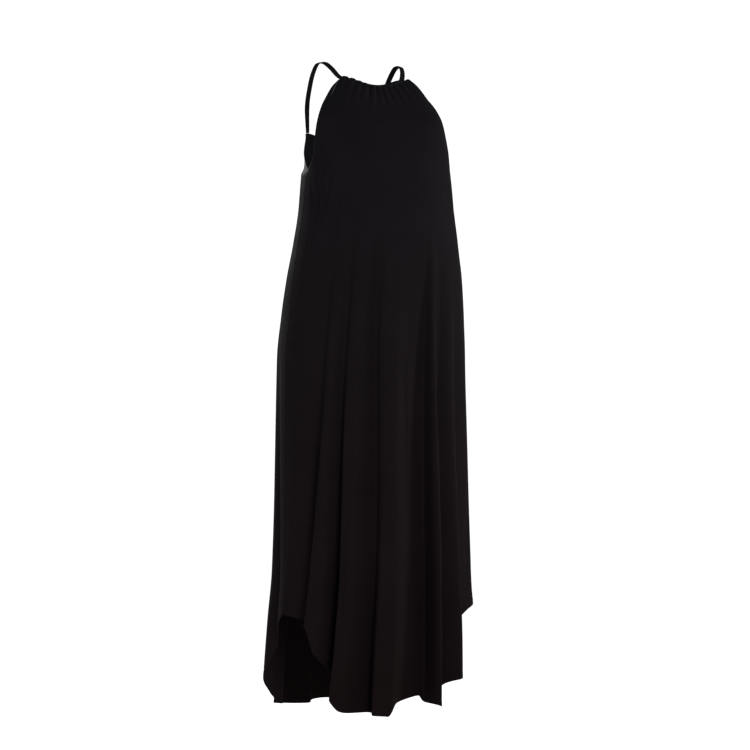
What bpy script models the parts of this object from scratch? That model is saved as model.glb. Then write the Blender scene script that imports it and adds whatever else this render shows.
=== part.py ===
"""Halter neck shift dress in soft jersey, cut and sewn from flat panels.

A gathered front panel and a plain back panel meet at two side seams.
One narrow neckband finishes the front neckline and runs on as both shoulder straps.
The armholes and the back top edge are finished with narrow bands.
The dress keeps its hollow worn form and is open at the neck, the armholes and the hem.

Metres, Z up, the front faces -Y, the wearer's left is +X.
The origin lies between the two places where the straps cross the shoulders.
"""
import math

import bpy
import numpy as np

for old in list(bpy.data.objects):
    bpy.data.objects.remove(old)

MM = 0.001

# Cloth and seams
WALL = 1.4 * MM
SEAM_GAP = 0.3 * MM
NECKBAND_WIDTH = 10.0 * MM
NECKBAND_THICK = 2.4 * MM
ARMBAND_WIDTH = 8.0 * MM
ARMBAND_THICK = 2.2 * MM
END_TRIM = 0.6 * MM

# Grid of each panel
FRONT_HALF_COLUMNS = 32
BACK_HALF_COLUMNS = 23
BODY_TOP = -0.222

# Level rings of the worn form, from the underarm down
RING_COLUMNS = ("level", "half_width", "side_y", "front_y", "back_y", "front_full", "back_full")
RINGS = [
    (-0.222, 0.1420, -0.0610, -0.1920, 0.0860, 2.70, 2.00),
    (-0.260, 0.1460, -0.0600, -0.2010, 0.0860, 2.65, 1.95),
    (-0.300, 0.1500, -0.0590, -0.2080, 0.0900, 2.60, 1.90),
    (-0.360, 0.1590, -0.0580, -0.2140, 0.1020, 2.50, 1.90),
    (-0.430, 0.1700, -0.0570, -0.2150, 0.1200, 2.35, 1.95),
    (-0.500, 0.1770, -0.0560, -0.2140, 0.1370, 2.25, 2.00),
    (-0.580, 0.1830, -0.0540, -0.2150, 0.1500, 2.12, 2.00),
    (-0.700, 0.1835, -0.0520, -0.2220, 0.1540, 2.05, 2.00),
    (-0.850, 0.1830, -0.0500, -0.2320, 0.1600, 2.02, 2.00),
    (-1.000, 0.1845, -0.0500, -0.2400, 0.1690, 2.00, 2.00),
    (-1.100, 0.1910, -0.0500, -0.2400, 0.1820, 2.00, 2.00),
    (-1.300, 0.2010, -0.0500, -0.2360, 0.2080, 2.00, 2.00),
]

# Front panel above the underarm: armhole edge and centre line at the same step
FRONT_TOP_COLUMNS = ("step", "edge_x", "edge_y", "edge_z", "centre_y", "centre_z", "turn", "full")
FRONT_TOP = [
    (0.00, 0.0660, -0.0550, -0.0400, -0.0790, -0.0550, 62.0, 2.10),
    (0.10, 0.0850, -0.0700, -0.0530, -0.0960, -0.0730, 65.0, 2.30),
    (0.22, 0.1050, -0.0850, -0.0750, -0.1140, -0.0930, 68.0, 2.50),
    (0.35, 0.1210, -0.0940, -0.0980, -0.1320, -0.1130, 71.0, 2.60),
    (0.48, 0.1310, -0.0980, -0.1210, -0.1490, -0.1340, 74.0, 2.70),
    (0.61, 0.1360, -0.0970, -0.1460, -0.1630, -0.1550, 77.0, 2.65),
    (0.76, 0.1390, -0.0940, -0.1780, -0.1780, -0.1800, 81.0, 2.70),
    (0.88, 0.1400, -0.0860, -0.2030, -0.1870, -0.2010, 85.0, 2.70),
    (0.95, 0.1410, -0.0740, -0.2170, -0.1905, -0.2130, 88.0, 2.70),
    (1.00, 0.1420, -0.0610, -0.2220, -0.1920, -0.2220, 90.0, 2.70),
]

# Back panel above the underarm
BACK_TOP_COLUMNS = FRONT_TOP_COLUMNS
BACK_TOP = [
    (0.00, 0.0740, 0.0910, -0.1410, 0.1030, -0.1620, 40.0, 2.00),
    (0.16, 0.0800, 0.0850, -0.1570, 0.1015, -0.1720, 50.0, 2.00),
    (0.34, 0.0890, 0.0720, -0.1760, 0.0990, -0.1830, 60.0, 2.00),
    (0.52, 0.1000, 0.0500, -0.1940, 0.0955, -0.1940, 70.0, 2.00),
    (0.68, 0.1120, 0.0250, -0.2060, 0.0920, -0.2040, 78.0, 2.00),
    (0.83, 0.1250, -0.0060, -0.2150, 0.0890, -0.2120, 84.0, 2.00),
    (0.94, 0.1360, -0.0380, -0.2205, 0.0870, -0.2185, 88.0, 2.00),
    (1.00, 0.1420, -0.0610, -0.2220, 0.0860, -0.2220, 90.0, 2.00),
]

# Hem level round each panel, "across" runs from the wearer's right seam to the left one
HEM_COLUMNS = ("across", "level")
FRONT_HEM = [
    (-1.00, -1.0780),
    (-0.86, -1.0850),
    (-0.75, -1.0980),
    (-0.68, -1.1400),
    (-0.60, -1.1820),
    (-0.55, -1.2320),
    (-0.47, -1.2520),
    (-0.33, -1.2560),
    (-0.19, -1.2580),
    (-0.05, -1.2320),
    (0.07, -1.2290),
    (0.18, -1.2460),
    (0.25, -1.2400),
    (0.31, -1.2080),
    (0.42, -1.1940),
    (0.50, -1.1300),
    (0.57, -1.0840),
    (0.70, -1.0640),
    (0.86, -1.0680),
    (1.00, -1.0780),
]
BACK_HEM = [
    (-1.00, -1.0780),
    (-0.88, -1.1080),
    (-0.74, -1.1780),
    (-0.60, -1.2340),
    (-0.44, -1.2720),
    (-0.20, -1.2840),
    (0.00, -1.2800),
    (0.22, -1.2850),
    (0.44, -1.2700),
    (0.60, -1.2300),
    (0.76, -1.1640),
    (0.90, -1.1020),
    (1.00, -1.0780),
]

# Hanging folds: they start at a level, deepen down to the hem and wander a little
FOLD_RISE = 1.15
EDGE_CALM = 0.06
FOLD_COLUMNS = ("name", "across_top", "across_hem", "start", "half_width", "depth")
FRONT_FOLDS = [
    ("valley_1", -0.67, -0.745, -0.400, 0.105, -17.0),
    ("ridge_1", -0.58, -0.640, -0.460, 0.085, 7.0),
    ("valley_2", -0.51, -0.535, -0.400, 0.085, -25.0),
    ("ridge_2", -0.38, -0.405, -0.480, 0.120, 9.0),
    ("valley_3", -0.24, -0.270, -0.430, 0.090, -15.0),
    ("ridge_3", -0.12, -0.120, -0.560, 0.120, 9.0),
    ("valley_4", 0.05, 0.080, -0.420, 0.105, -15.0),
    ("ridge_4", 0.15, 0.185, -0.440, 0.070, 11.0),
    ("valley_5", 0.24, 0.275, -0.420, 0.080, -14.0),
    ("ridge_5", 0.36, 0.395, -0.420, 0.090, 11.0),
    ("valley_6", 0.48, 0.535, -0.460, 0.095, -20.0),
    ("ridge_6", 0.62, 0.690, -0.560, 0.110, 12.0),
    ("valley_7", 0.76, 0.830, -0.520, 0.100, -11.0),
]
BACK_FOLDS = [
    ("valley_1", -0.78, -0.800, -0.480, 0.110, -10.0),
    ("ridge_1", -0.60, -0.650, -0.420, 0.120, 8.0),
    ("valley_2", -0.44, -0.470, -0.360, 0.120, -20.0),
    ("ridge_2", -0.28, -0.290, -0.300, 0.120, 10.0),
    ("valley_3", -0.12, -0.110, -0.380, 0.120, -18.0),
    ("ridge_3", 0.03, 0.060, -0.330, 0.110, 9.0),
    ("valley_4", 0.18, 0.210, -0.420, 0.120, -21.0),
    ("ridge_4", 0.33, 0.370, -0.300, 0.120, 11.0),
    ("valley_5", 0.47, 0.520, -0.400, 0.110, -17.0),
    ("ridge_5", 0.62, 0.670, -0.460, 0.110, 9.0),
    ("valley_6", 0.79, 0.820, -0.520, 0.100, -10.0),
]

# Drag folds that fade out at both ends
DRAG_COLUMNS = ("name", "across_top", "across_low", "top", "low", "half_width", "depth")
FRONT_DRAGS = [
    ("right_bust", -0.52, -0.71, -0.190, -0.440, 0.085, -5.5),
    ("right_underarm", -0.74, -0.88, -0.225, -0.430, 0.070, -4.5),
    ("right_waist", -0.44, -0.62, -0.330, -0.480, 0.070, -3.5),
    ("left_bust", 0.56, 0.72, -0.195, -0.430, 0.085, -4.5),
    ("left_underarm", 0.78, 0.87, -0.240, -0.420, 0.070, -4.0),
]
BACK_DRAGS = [
    ("right_blade", -0.62, -0.40, -0.200, -0.520, 0.120, -4.0),
    ("left_blade", 0.58, 0.36, -0.195, -0.500, 0.120, -4.5),
    ("small_of_back", -0.06, 0.05, -0.260, -0.520, 0.130, -3.5),
]

# Gathers below the front neckline
GATHER_COLUMNS = ("across_top", "across_low", "half_width", "depth", "reach")
GATHERS = [
    (-0.93, -0.95, 0.060, 2.2, 0.050),
    (-0.78, -0.82, 0.070, 3.4, 0.075),
    (-0.61, -0.66, 0.070, 3.8, 0.085),
    (-0.46, -0.50, 0.070, 3.2, 0.070),
    (-0.30, -0.34, 0.075, 4.0, 0.095),
    (-0.14, -0.16, 0.070, 3.6, 0.075),
    (0.01, 0.00, 0.070, 3.4, 0.090),
    (0.16, 0.18, 0.070, 3.8, 0.080),
    (0.31, 0.35, 0.070, 3.2, 0.095),
    (0.47, 0.52, 0.075, 4.0, 0.080),
    (0.63, 0.68, 0.070, 3.2, 0.090),
    (0.79, 0.83, 0.070, 3.2, 0.070),
    (0.93, 0.95, 0.060, 2.0, 0.050),
]

# Straps of the neckband past the front corners, for the wearer's left side
STRAP_COLUMNS = ("x", "y", "z", "face_x", "face_y", "face_z")
STRAP = [
    (0.0770, -0.0280, -0.0150, 0.30, -0.38, 0.87),
    (0.0830, -0.0040, -0.0020, 0.26, -0.10, 0.96),
    (0.0850, 0.0160, -0.0010, 0.24, 0.22, 0.94),
    (0.0845, 0.0400, -0.0150, 0.22, 0.56, 0.80),
    (0.0825, 0.0640, -0.0440, 0.18, 0.78, 0.60),
    (0.0800, 0.0830, -0.0820, 0.16, 0.90, 0.40),
]


def column(rows, names, name):
    """One named column of a table as an array."""
    return np.array([row[names.index(name)] for row in rows], dtype=float)


def smooth_table(x, y, at):
    """Monotone cubic through a table, so that nothing overshoots between its rows."""
    order = np.argsort(x)
    x = x[order]
    y = y[order]
    step = np.diff(x)
    slope = np.diff(y) / step
    tangent = np.zeros_like(y)
    tangent[0] = slope[0]
    tangent[-1] = slope[-1]
    for i in range(1, len(x) - 1):
        if slope[i - 1] * slope[i] > 0.0:
            near = 2.0 * step[i] + step[i - 1]
            far = step[i] + 2.0 * step[i - 1]
            tangent[i] = (near + far) / (near / slope[i - 1] + far / slope[i])
    at = np.clip(at, x[0], x[-1])
    k = np.clip(np.searchsorted(x, at) - 1, 0, len(x) - 2)
    t = (at - x[k]) / step[k]
    a = (1.0 + 2.0 * t) * (1.0 - t) ** 2
    b = t * (1.0 - t) ** 2
    c = t * t * (3.0 - 2.0 * t)
    d = t * t * (t - 1.0)
    return a * y[k] + b * step[k] * tangent[k] + c * y[k + 1] + d * step[k] * tangent[k + 1]


def look_up(rows, names, key, name, at):
    return smooth_table(column(rows, names, key), column(rows, names, name), at)


def ease(t):
    t = np.clip(t, 0.0, 1.0)
    return t * t * (3.0 - 2.0 * t)


def bell(t):
    """A soft bump of height one that ends at t = 1 on either side."""
    t = np.clip(np.abs(t), 0.0, 1.0)
    return 0.5 + 0.5 * np.cos(math.pi * t)


def arc_points(across, edge_x, edge_y, centre_y, turn, full):
    """Points at equal steps of length along a rounded half ring, both sides of the centre."""
    angle = np.linspace(0.0, math.radians(turn), 181)
    power = 2.0 / full
    x = np.sin(angle) ** power
    y = np.abs(np.cos(angle)) ** power
    x = edge_x * x / x[-1]
    y = edge_y + (centre_y - edge_y) * (y - y[-1]) / (y[0] - y[-1])
    length = np.concatenate([[0.0], np.cumsum(np.hypot(np.diff(x), np.diff(y)))])
    along = np.abs(across) * length[-1]
    return np.sign(across) * np.interp(along, length, x), np.interp(along, length, y)


def spaced(half):
    """Positions across a panel from one edge to the other."""
    return np.linspace(-1.0, 1.0, 2 * half + 1)


def upper_rows(across, rows, names, steps):
    """Panel points between the top edge and the underarm level."""
    out = np.zeros((len(steps), len(across), 3))
    for i, step in enumerate(steps):
        at = np.array([step])
        value = {n: float(look_up(rows, names, "step", n, at)[0]) for n in names[1:]}
        x, y = arc_points(across, value["edge_x"], value["edge_y"], value["centre_y"],
                          value["turn"], value["full"])
        lift = ease(np.abs(across) ** 1.15)
        out[i, :, 0] = x
        out[i, :, 1] = y
        out[i, :, 2] = value["centre_z"] + (value["edge_z"] - value["centre_z"]) * lift
    return out


def ring_row(across, levels, far_name, full_name):
    """Points of one panel row whose level may change from column to column."""
    out = np.zeros((len(across), 3))
    for j, (u, z) in enumerate(zip(across, levels)):
        at = np.array([z])
        value = {n: float(look_up(RINGS, RING_COLUMNS, "level", n, at)[0]) for n in RING_COLUMNS[1:]}
        x, y = arc_points(np.array([u]), value["half_width"], value["side_y"],
                          value[far_name], 90.0, value[full_name])
        out[j] = (x[0], y[0], z)
    return out


def lower_rows(across, hem, steps, far_name, full_name):
    """Panel points from the underarm level down to the hem."""
    level = look_up(hem, HEM_COLUMNS, "across", "level", across)
    out = np.zeros((len(steps), len(across), 3))
    for i, step in enumerate(steps):
        out[i] = ring_row(across, BODY_TOP + (level - BODY_TOP) * step, far_name, full_name)
    return out


def hanging_depth(across, z, hem_z, folds):
    """Sum of the hanging folds, in metres along the outward direction."""
    total = np.zeros_like(z)
    for name, top, low, start, half_width, depth in folds:
        run = np.clip((start - z) / (start - hem_z), 0.0, 1.0)
        middle = top + (low - top) * run
        spread = half_width * (1.25 - 0.25 * run)
        total += depth * MM * run ** FOLD_RISE * bell((across - middle) / spread)
    return total


def drag_depth(across, z, drags):
    """Sum of the drag folds that fade out at both ends."""
    total = np.zeros_like(z)
    for name, top_u, low_u, top, low, half_width, depth in drags:
        run = (top - z) / (top - low)
        middle = top_u + (low_u - top_u) * np.clip(run, 0.0, 1.0)
        fade = bell(2.0 * run - 1.0) * ((run > 0.0) & (run < 1.0))
        total += depth * MM * fade * bell((across - middle) / half_width)
    return total


def gather_depth(across, below):
    """Gathers held small at the seam, deepest a little below it and then fading out."""
    total = np.zeros_like(below)
    for top, low, half_width, depth, reach in GATHERS:
        run = below / reach
        middle = top + (low - top) * np.clip(run, 0.0, 1.0)
        rise = 0.30 + 0.70 * ease(below / 0.012)
        fall = 1.0 - ease(run)
        total += -depth * MM * rise * fall * bell((across - middle) / half_width)
        total += 0.35 * depth * MM * rise * fall
    return total


def grid_normals(points, outward):
    """Unit normals of a grid, turned to the given side."""
    down = np.gradient(points, axis=0)
    over = np.gradient(points, axis=1)
    normal = np.cross(over, down)
    normal /= np.linalg.norm(normal, axis=2, keepdims=True)
    return normal * outward


def unit(v):
    return v / np.linalg.norm(v, axis=-1, keepdims=True)


def shell_mesh(name, outer, inner):
    """A closed body from two grids of the same size and the rim between them."""
    rows, cols = outer.shape[:2]
    verts = np.concatenate([outer.reshape(-1, 3), inner.reshape(-1, 3)])
    half = rows * cols

    def index(i, j):
        return i * cols + j

    faces = []
    for i in range(rows - 1):
        for j in range(cols - 1):
            a = index(i, j)
            b = index(i, j + 1)
            c = index(i + 1, j + 1)
            d = index(i + 1, j)
            faces.append((a, b, c, d))
            faces.append((half + d, half + c, half + b, half + a))
    for j in range(cols - 1):
        faces.append((index(0, j + 1), index(0, j), half + index(0, j), half + index(0, j + 1)))
        a = index(rows - 1, j)
        b = index(rows - 1, j + 1)
        faces.append((a, b, half + b, half + a))
    for i in range(rows - 1):
        a = index(i, 0)
        b = index(i + 1, 0)
        faces.append((a, b, half + b, half + a))
        a = index(i, cols - 1)
        b = index(i + 1, cols - 1)
        faces.append((b, a, half + a, half + b))
    return body_from(name, verts, faces)


def body_from(name, verts, faces):
    """Makes the mesh object with its faces looking out of the body."""
    mesh = bpy.data.meshes.new(name)
    mesh.from_pydata([tuple(v) for v in verts], [], faces)
    mesh.validate()
    volume = 0.0
    for polygon in mesh.polygons:
        corner = [np.array(mesh.vertices[k].co) for k in polygon.vertices]
        for k in range(1, len(corner) - 1):
            volume += float(np.dot(corner[0], np.cross(corner[k], corner[k + 1])))
    if volume < 0.0:
        mesh.flip_normals()
    mesh.update()
    body = bpy.data.objects.new(name, mesh)
    bpy.context.scene.collection.objects.link(body)
    mesh.materials.append(jersey(name + "_jersey"))
    return body


def jersey(name):
    """Soft near-black jersey."""
    material = bpy.data.materials.new(name)
    material.use_nodes = True
    shader = material.node_tree.nodes["Principled BSDF"]
    shader.inputs["Base Color"].default_value = (0.012, 0.011, 0.012, 1.0)
    shader.inputs["Roughness"].default_value = 0.85
    return material


def row_steps(count, power):
    return (np.arange(count + 1) / count) ** power


def front_surface():
    across = spaced(FRONT_HALF_COLUMNS)
    top = upper_rows(across, FRONT_TOP, FRONT_TOP_COLUMNS, row_steps(14, 1.25))
    low = lower_rows(across, FRONT_HEM, row_steps(20, 1.0)[1:], "front_y", "front_full")
    return across, np.concatenate([top, low])


def back_surface():
    across = spaced(BACK_HALF_COLUMNS)
    top = upper_rows(across, BACK_TOP, BACK_TOP_COLUMNS, row_steps(7, 1.0))
    low = lower_rows(across, BACK_HEM, row_steps(20, 1.0)[1:], "back_y", "back_full")
    return across, np.concatenate([top, low])


def panel(across, base, side, hem_z, folds, drags, gathered):
    """Folds the base surface and gives it the thickness of the cloth."""
    base = base.copy()
    base[:, 0, 1] += 0.5 * SEAM_GAP * side
    base[:, -1, 1] += 0.5 * SEAM_GAP * side
    normal = grid_normals(base, 1.0)
    if np.sum(normal[:, :, 1] * side) < 0.0:
        normal = -normal
    u = np.broadcast_to(across, base.shape[:2])
    # The folds fade out just before the side seams
    edge = ease((1.0 - np.abs(u)) / EDGE_CALM)
    depth = hanging_depth(u, base[:, :, 2], hem_z, folds) * edge
    depth += drag_depth(u, base[:, :, 2], drags) * edge
    if gathered:
        steps = np.linalg.norm(np.diff(base, axis=0), axis=2)
        below = np.concatenate([np.zeros((1, len(across))), np.cumsum(steps, axis=0)])
        depth += gather_depth(u, below) * edge
    outer = base + normal * depth[:, :, None]
    turned = grid_normals(outer, 1.0)
    if np.sum(turned[:, :, 1] * side) < 0.0:
        turned = -turned
    inner = outer - turned * WALL
    # The two ends of the panel stay in the plane of the side seam
    for j in (0, -1):
        seam = base[:, j, 2] <= BODY_TOP + 1e-6
        inner[seam, j, 1] = outer[seam, j, 1]
    return outer, inner, turned


def strip(name, centre, width_way, face_way, width, thick):
    """A flat band swept along a line, square in section."""
    width_way = unit(width_way)
    face_way = unit(face_way - width_way * np.sum(face_way * width_way, axis=1, keepdims=True))
    a = centre + width_way * width / 2 + face_way * thick / 2
    b = centre - width_way * width / 2 + face_way * thick / 2
    c = centre - width_way * width / 2 - face_way * thick / 2
    d = centre + width_way * width / 2 - face_way * thick / 2
    count = len(centre)
    verts = np.concatenate([a, b, c, d])
    faces = []
    for i in range(count - 1):
        for k in range(4):
            here = k * count + i
            there = ((k + 1) % 4) * count + i
            faces.append((here, there, there + 1, here + 1))
    faces.append((0, 3 * count, 2 * count, count))
    faces.append((count - 1, 2 * count - 1, 3 * count - 1, 4 * count - 1))
    return body_from(name, verts, faces)


def resample(points, count, *others):
    """Even steps along a line of points, with other columns carried along."""
    length = np.concatenate([[0.0], np.cumsum(np.linalg.norm(np.diff(points, axis=0), axis=1))])
    at = np.linspace(0.0, length[-1], count)
    result = []
    for item in (points,) + others:
        result.append(np.stack([smooth_table(length, item[:, k], at) for k in range(3)], axis=1))
    return result


def soften(points, passes):
    """Rounds a line a little without moving its ends."""
    points = points.copy()
    for _ in range(passes):
        points[1:-1] = 0.25 * points[:-2] + 0.5 * points[1:-1] + 0.25 * points[2:]
    return points


def armhole_band(name, side, front, back):
    """Band along the front armhole edge, under the arm and up the back armhole edge."""
    column_at = -1 if side > 0 else 0
    inward = -2 if side > 0 else 1
    points = []
    outways = []
    faces = []
    for grid, order in ((front, 1), (back, -1)):
        outer, inner, normal = grid
        edge = 0.5 * (outer[:, column_at] + inner[:, column_at])
        next_in = 0.5 * (outer[:, inward] + inner[:, inward])
        keep = edge[:, 2] > BODY_TOP - 1e-6
        line = edge[keep][::order]
        out = unit(edge[keep] - next_in[keep])[::order]
        face = normal[keep, column_at][::order]
        points.append(line)
        outways.append(out)
        faces.append(face)
    line = np.concatenate([points[0][:-1], [0.5 * (points[0][-1] + points[1][0])], points[1][1:]])
    face = np.concatenate([faces[0][:-1], [0.5 * (faces[0][-1] + faces[1][0])], faces[1][1:]])
    along = unit(np.gradient(line, axis=0))
    face = unit(face)
    out = unit(np.cross(along, face))
    reference = np.concatenate([outways[0][:-1], [outways[0][-1] + outways[1][0]], outways[1][1:]])
    flip = np.sign(np.sum(out * reference, axis=1, keepdims=True))
    middle = len(points[0]) - 1
    flip[middle] = flip[middle - 1]
    out = out * flip
    # The ends are cut along the top edges that they meet
    for k, grid in ((0, front), (-1, back)):
        top_edge = 0.5 * (grid[0][0] + grid[1][0])
        out[k] = unit(top_edge[column_at] - top_edge[inward])
    out = soften(out, 2)
    face = soften(face, 2)
    line[0] += unit(line[1] - line[0]) * END_TRIM
    line[-1] += unit(line[-2] - line[-1]) * END_TRIM
    centre = line + unit(out) * (SEAM_GAP + ARMBAND_WIDTH / 2)
    return strip(name, centre, out, face, ARMBAND_WIDTH, ARMBAND_THICK)


def build():
    across_f, base_f = front_surface()
    across_b, base_b = back_surface()
    hem_f = look_up(FRONT_HEM, HEM_COLUMNS, "across", "level", across_f)
    hem_b = look_up(BACK_HEM, HEM_COLUMNS, "across", "level", across_b)
    front = panel(across_f, base_f, -1.0, hem_f, FRONT_FOLDS, FRONT_DRAGS, True)
    back = panel(across_b, base_b, 1.0, hem_b, BACK_FOLDS, BACK_DRAGS, False)
    shell_mesh("front_panel", front[0], front[1])
    shell_mesh("back_panel", back[0], back[1])

    # Armhole bands
    armhole_band("armhole_band_left", 1.0, front, back)
    armhole_band("armhole_band_right", -1.0, front, back)

    # Band along the top edge of the back panel
    outer, inner, normal = back
    line = 0.5 * (outer[0] + inner[0])
    face = normal[0]
    along = unit(np.gradient(line, axis=0))
    up = unit(np.cross(face, along))
    if up[len(up) // 2, 2] < 0.0:
        up = -up
    reach = ARMBAND_WIDTH + SEAM_GAP
    line = np.concatenate([[line[0] - along[0] * reach], line, [line[-1] + along[-1] * reach]])
    up = np.concatenate([[up[0]], up, [up[-1]]])
    face = np.concatenate([[face[0]], face, [face[-1]]])
    centre = line + up * (SEAM_GAP + ARMBAND_WIDTH / 2)
    picked = resample(centre, 25, up, face)
    strip("back_band", picked[0], picked[1], picked[2], ARMBAND_WIDTH, ARMBAND_THICK)
    back_top = centre + up * ARMBAND_WIDTH / 2
    back_way = unit(np.gradient(line, axis=0))

    # Neckband: front binding and both straps in one strip
    base_top = base_f[0]
    inner_shift = grid_normals(base_f, 1.0)
    if np.sum(inner_shift[:, :, 1]) > 0.0:
        inner_shift = -inner_shift
    line = base_top - inner_shift[0] * WALL / 2
    pick = np.arange(0, len(line), 2)
    line = line[pick]
    share = across_f[pick]
    face = np.stack([0.30 * share, -0.60 + 0.20 * share ** 2, 0.80 + 0.05 * share ** 2], axis=1)
    face = unit(face)
    along = unit(np.gradient(line, axis=0))
    out = unit(np.cross(face, along))
    if out[len(out) // 2, 2] < 0.0:
        out = -out
    front_line = line + out * (SEAM_GAP + NECKBAND_WIDTH / 2)
    strap = np.array(STRAP)
    end = back_top[-2] + np.array([0.0, 0.0, 2.0 * SEAM_GAP])
    left_points = np.concatenate([strap[:, :3], [end]])
    left_faces = np.concatenate([strap[:, 3:], [[0.14, 0.96, 0.22]]])
    mirror = np.array([-1.0, 1.0, 1.0])
    points = np.concatenate([(left_points * mirror)[::-1], front_line, left_points])
    faces = np.concatenate([(left_faces * mirror)[::-1], face, left_faces])
    picked = resample(points, 81, faces)
    centre = soften(picked[0], 1)
    face = unit(picked[1])
    along = unit(np.gradient(centre, axis=0))
    width_way = unit(np.cross(face, along))
    # Both strap ends are cut along the back band
    for k, way in ((0, back_way[1]), (-1, back_way[-2])):
        way = way * np.sign(np.dot(way, width_way[k]))
        for j in range(6):
            i = k - j if k else j
            share_of_end = 1.0 - j / 6.0
            width_way[i] = unit(width_way[i] * (1.0 - share_of_end) + way * share_of_end)
    strip("neckband", centre, width_way, face, NECKBAND_WIDTH, NECKBAND_THICK)


build()
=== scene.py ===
"""Halter neck shift dress in soft near-black jersey, worn form, on a pale studio floor.

Metres, Z up, the front faces -Y, the wearer's left is +X.
The two cloth panels are thin shells on the solids' form, with the folds laid in.
"""
import math

import bpy
import numpy as np
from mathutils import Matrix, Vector


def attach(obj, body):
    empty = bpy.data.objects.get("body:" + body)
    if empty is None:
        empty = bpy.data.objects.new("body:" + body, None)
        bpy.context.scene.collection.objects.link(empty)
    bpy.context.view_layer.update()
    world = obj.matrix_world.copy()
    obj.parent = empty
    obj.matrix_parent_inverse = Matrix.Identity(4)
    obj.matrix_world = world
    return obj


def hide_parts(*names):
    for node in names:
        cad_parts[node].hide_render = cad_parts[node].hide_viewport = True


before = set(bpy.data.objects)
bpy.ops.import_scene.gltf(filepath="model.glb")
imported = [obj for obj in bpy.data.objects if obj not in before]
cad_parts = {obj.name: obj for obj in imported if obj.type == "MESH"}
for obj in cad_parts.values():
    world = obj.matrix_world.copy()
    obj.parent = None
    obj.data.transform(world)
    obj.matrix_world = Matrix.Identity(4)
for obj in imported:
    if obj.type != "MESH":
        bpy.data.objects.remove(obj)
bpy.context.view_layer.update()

MM = 0.001

# Camera
YAW = math.radians(-25.0)
DISTANCE = 5.0
EYE_LEVEL = -0.616
AIM_RIGHT = 0.0277
FOCAL_PIXELS = 2525.25
PICTURE_PIXELS = 750.0
SENSOR = 36.0

# Floor and the rounded wall round it
FLOOR = -1.50
FLOOR_RADIUS = 6.6
COVE = 1.4
WALL_TOP = 4.2

# Cloth. WALL is the solids' wall, CLOTH the thinner one that shows.
WALL = 1.4 * MM
CLOTH = 0.9 * MM
HEM_TURN = 12.0 * MM
HEM_STEP = 1.2 * MM
HEM_SECOND_LAYER = 0.7 * MM
HEM_STITCHING = (HEM_TURN - 0.6 * MM, HEM_TURN - 3.8 * MM)
NECKBAND_WIDTH = 10.0 * MM
NECKBAND_THICK = 2.4 * MM
ARMBAND_WIDTH = 8.0 * MM
ARMBAND_THICK = 2.2 * MM
BAND_LAP = 0.8 * MM
BAND_STITCHING = 0.62
SEAM_GAP = 0.3 * MM
SEAM_LAP = 0.03 * MM
BODY_TOP = -0.222

# Folds
EDGE_CALM = 0.06
FOLD_RISE = 0.85
FOLD_WANDER = 0.010
FOLD_LEAN = 0.30
LEAN_BLEND = 0.14
FRONT_LEAN_TURN = 0.23
BACK_LEAN_TURN = 0.0

# Thread
HEM_PITCH = 3.1 * MM
BAND_PITCH = 2.9 * MM

# Level rings of the worn form, from the underarm down
RING_COLUMNS = ("level", "half_width", "side_y", "front_y", "back_y", "front_full", "back_full")
RINGS = [
    (-0.222, 0.1420, -0.0610, -0.1920, 0.0860, 2.70, 2.00),
    (-0.260, 0.1460, -0.0600, -0.2010, 0.0860, 2.65, 1.95),
    (-0.300, 0.1500, -0.0590, -0.2080, 0.0900, 2.60, 1.90),
    (-0.360, 0.1590, -0.0580, -0.2140, 0.1020, 2.50, 1.90),
    (-0.430, 0.1700, -0.0570, -0.2150, 0.1200, 2.35, 1.95),
    (-0.500, 0.1770, -0.0560, -0.2140, 0.1370, 2.25, 2.00),
    (-0.580, 0.1830, -0.0540, -0.2150, 0.1500, 2.12, 2.00),
    (-0.700, 0.1835, -0.0520, -0.2220, 0.1540, 2.05, 2.00),
    (-0.850, 0.1830, -0.0500, -0.2320, 0.1600, 2.02, 2.00),
    (-1.000, 0.1845, -0.0500, -0.2400, 0.1690, 2.00, 2.00),
    (-1.100, 0.1910, -0.0500, -0.2400, 0.1820, 2.00, 2.00),
    (-1.300, 0.2010, -0.0500, -0.2360, 0.2080, 2.00, 2.00),
]

# Panels above the underarm: armhole edge and centre line at the same step
TOP_COLUMNS = ("step", "edge_x", "edge_y", "edge_z", "centre_y", "centre_z", "turn", "full")
FRONT_TOP = [
    (0.00, 0.0660, -0.0550, -0.0400, -0.0790, -0.0550, 62.0, 2.10),
    (0.10, 0.0850, -0.0700, -0.0530, -0.0960, -0.0730, 65.0, 2.30),
    (0.22, 0.1050, -0.0850, -0.0750, -0.1140, -0.0930, 68.0, 2.50),
    (0.35, 0.1210, -0.0940, -0.0980, -0.1320, -0.1130, 71.0, 2.60),
    (0.48, 0.1310, -0.0980, -0.1210, -0.1490, -0.1340, 74.0, 2.70),
    (0.61, 0.1360, -0.0970, -0.1460, -0.1630, -0.1550, 77.0, 2.65),
    (0.76, 0.1390, -0.0940, -0.1780, -0.1780, -0.1800, 81.0, 2.70),
    (0.88, 0.1400, -0.0860, -0.2030, -0.1870, -0.2010, 85.0, 2.70),
    (0.95, 0.1410, -0.0740, -0.2170, -0.1905, -0.2130, 88.0, 2.70),
    (1.00, 0.1420, -0.0610, -0.2220, -0.1920, -0.2220, 90.0, 2.70),
]
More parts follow.
